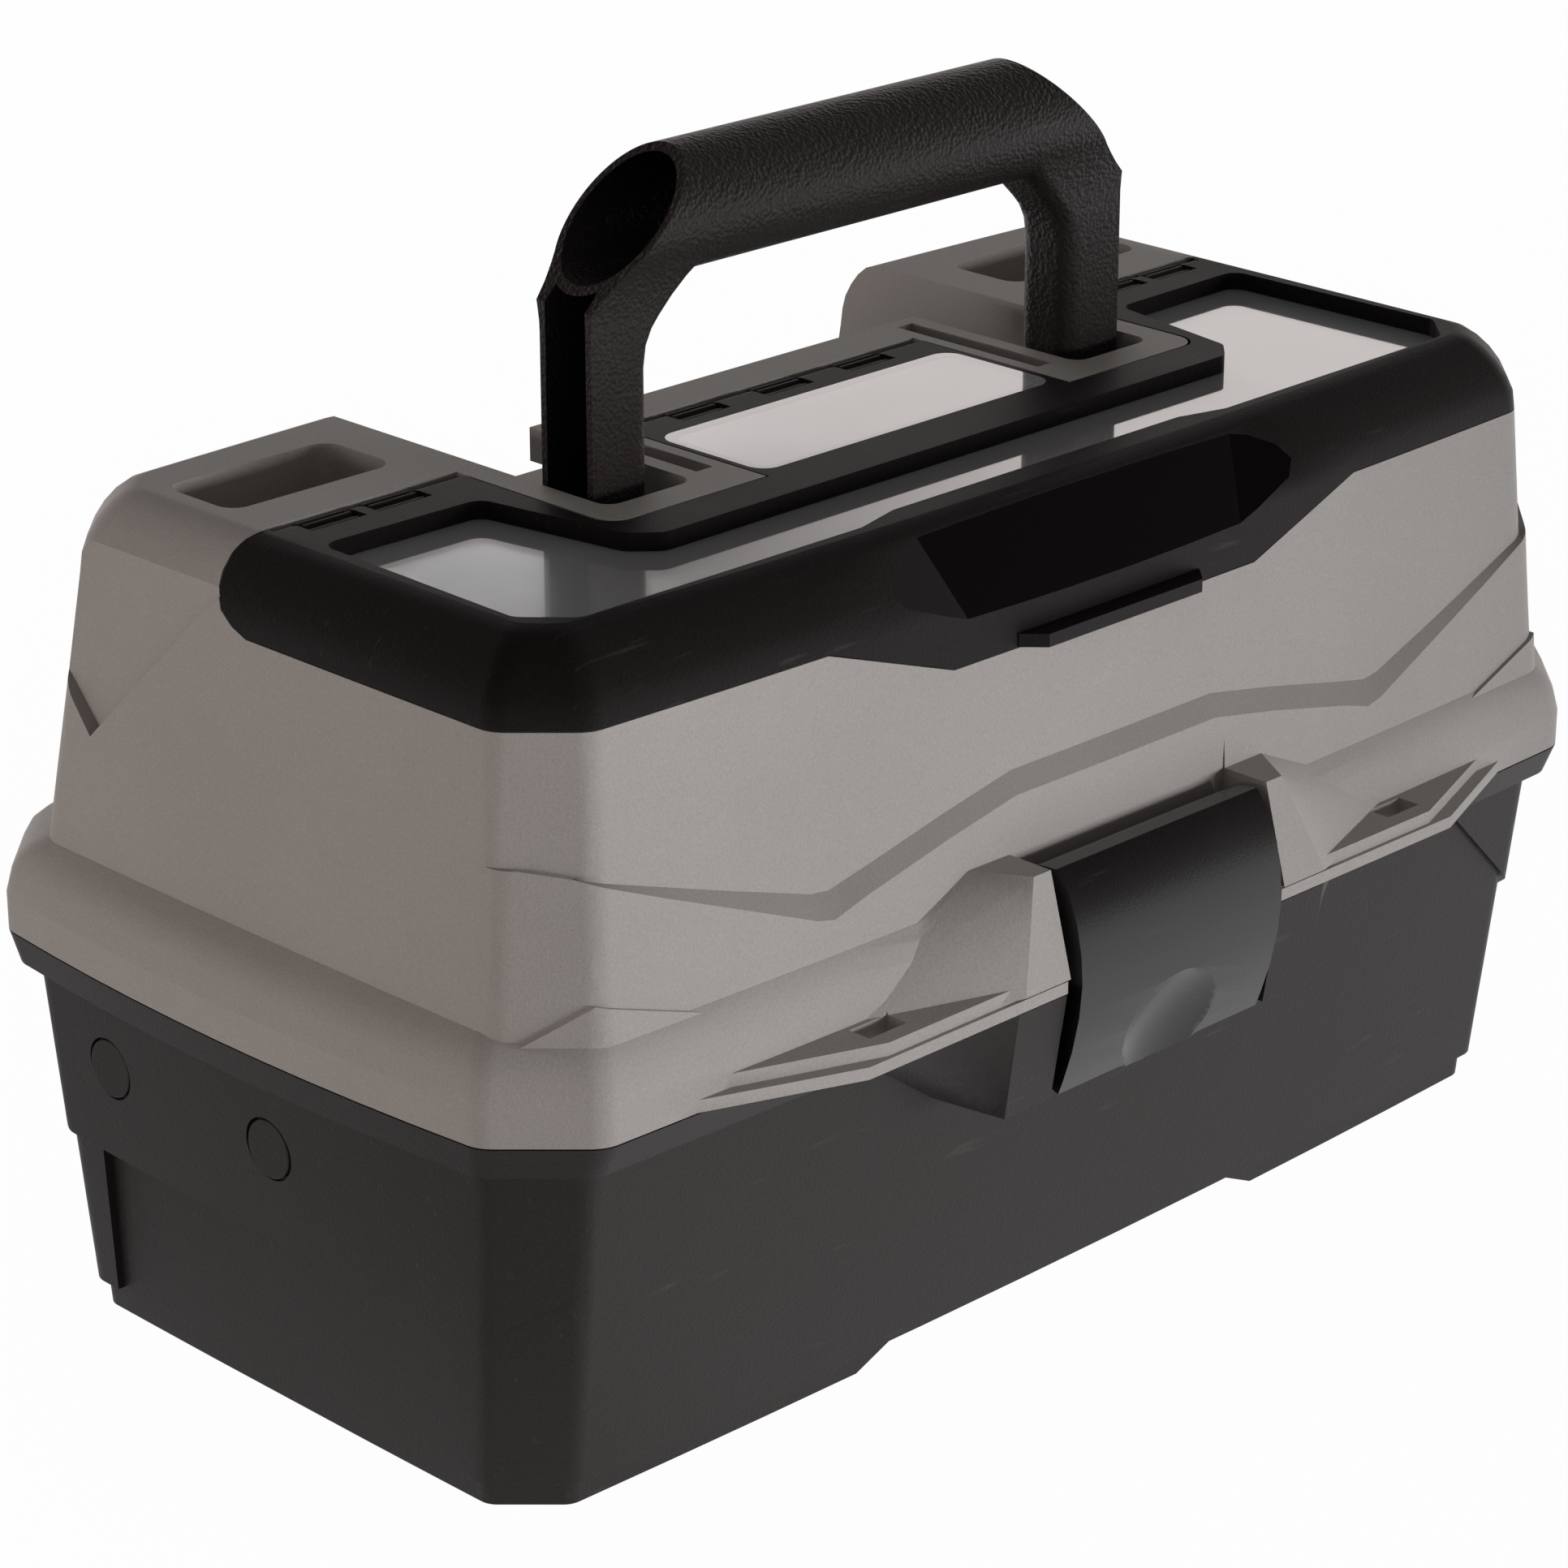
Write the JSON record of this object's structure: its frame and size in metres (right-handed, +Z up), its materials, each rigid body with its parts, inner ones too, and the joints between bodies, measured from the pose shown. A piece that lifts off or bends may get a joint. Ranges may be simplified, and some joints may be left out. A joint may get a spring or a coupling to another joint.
{
  "type": "art supply box",
  "caption": "Grey and black plastic supply box with a hinged lid, lift-up tray, clear-windowed top door, folding carry handle and front latch",
  "frame": {"origin": "middle of the underside of the plinth, on the floor", "axes": "+X along the length of the box to the right, +Y to the rear hinge, +Z up; the latch is on the -Y side"},
  "size_m": [0.3678, 0.2266, 0.2695],
  "materials": {
    "grey_plastic": "fine grained",
    "black_plastic": "fine grained",
    "clear_plastic": "clear and polished",
    "tray_plastic": "satin",
    "steel": "plain"
  },
  "bodies": {
    "base": {"base_tub": "black_plastic", "lid_hinge_pin_left": "steel", "lid_hinge_pin_right": "steel", "front_rivet_left": "black_plastic", "front_rivet_right": "black_plastic", "rear_rivet_left": "black_plastic", "rear_rivet_right": "black_plastic"},
    "lid": {"lid_shell": "grey_plastic", "latch_pin": "steel", "link_pin_left": "steel", "link_pin_right": "steel"},
    "top_door": {"door_frame": "black_plastic", "front_window": "clear_plastic", "centre_window": "clear_plastic", "door_rod_left": "steel", "door_rod_centre": "steel", "door_rod_right": "steel"},
    "handle": {"carry_handle": "black_plastic", "handle_pin_left": "steel", "handle_pin_right": "steel"},
    "latch": {"latch_plate": "black_plastic"},
    "front_arms": {"front_arm_left": "steel", "front_arm_right": "steel"},
    "rear_arms": {"rear_arm_left": "steel", "rear_arm_right": "steel"},
    "tray": {"tray": "tray_plastic", "front_tray_pin_left": "steel", "front_tray_pin_right": "steel", "rear_tray_pin_left": "steel", "rear_tray_pin_right": "steel"}
  },
  "joints": [
    {"name": "lid_hinge", "type": "hinge", "parent": "base", "child": "lid", "pos_m": [0, 0.106, 0.09415], "axis": [-1, 0, 0], "range_deg": [0, 100]},
    {"name": "top_door_hinge", "type": "hinge", "parent": "lid", "child": "top_door", "pos_m": [0, 0.0135, 0.1944], "axis": [-1, 0, 0], "range_deg": [0, 45]},
    {"name": "handle_fold", "type": "hinge", "parent": "lid", "child": "handle", "pos_m": [0, -0.0072, 0.1815], "axis": [-1, 0, 0], "range_deg": [0, 90]},
    {"name": "latch_swing", "type": "hinge", "parent": "lid", "child": "latch", "pos_m": [0, -0.103, 0.1165], "axis": [-1, 0, 0], "range_deg": [0, 95]},
    {"name": "front_arm_swing", "type": "hinge", "parent": "base", "child": "front_arms", "pos_m": [0, -0.006, 0.0673], "axis": [-1, 0, 0], "range_deg": [0, 100]},
    {"name": "rear_arm_swing", "type": "hinge", "parent": "base", "child": "rear_arms", "pos_m": [0, 0.051, 0.0673], "axis": [-1, 0, 0], "range_deg": [0, 100]},
    {"name": "tray_level", "type": "hinge", "parent": "rear_arms", "child": "tray", "pos_m": [0, -0.004, 0.0733], "axis": [-1, 0, 0], "range_deg": [-100, 0]}
  ],
  "couplings": [
    {"joint": "front_arm_swing", "follows": "lid_hinge", "ratio": 1},
    {"joint": "rear_arm_swing", "follows": "lid_hinge", "ratio": 1},
    {"joint": "tray_level", "follows": "lid_hinge", "ratio": -1}
  ]
}
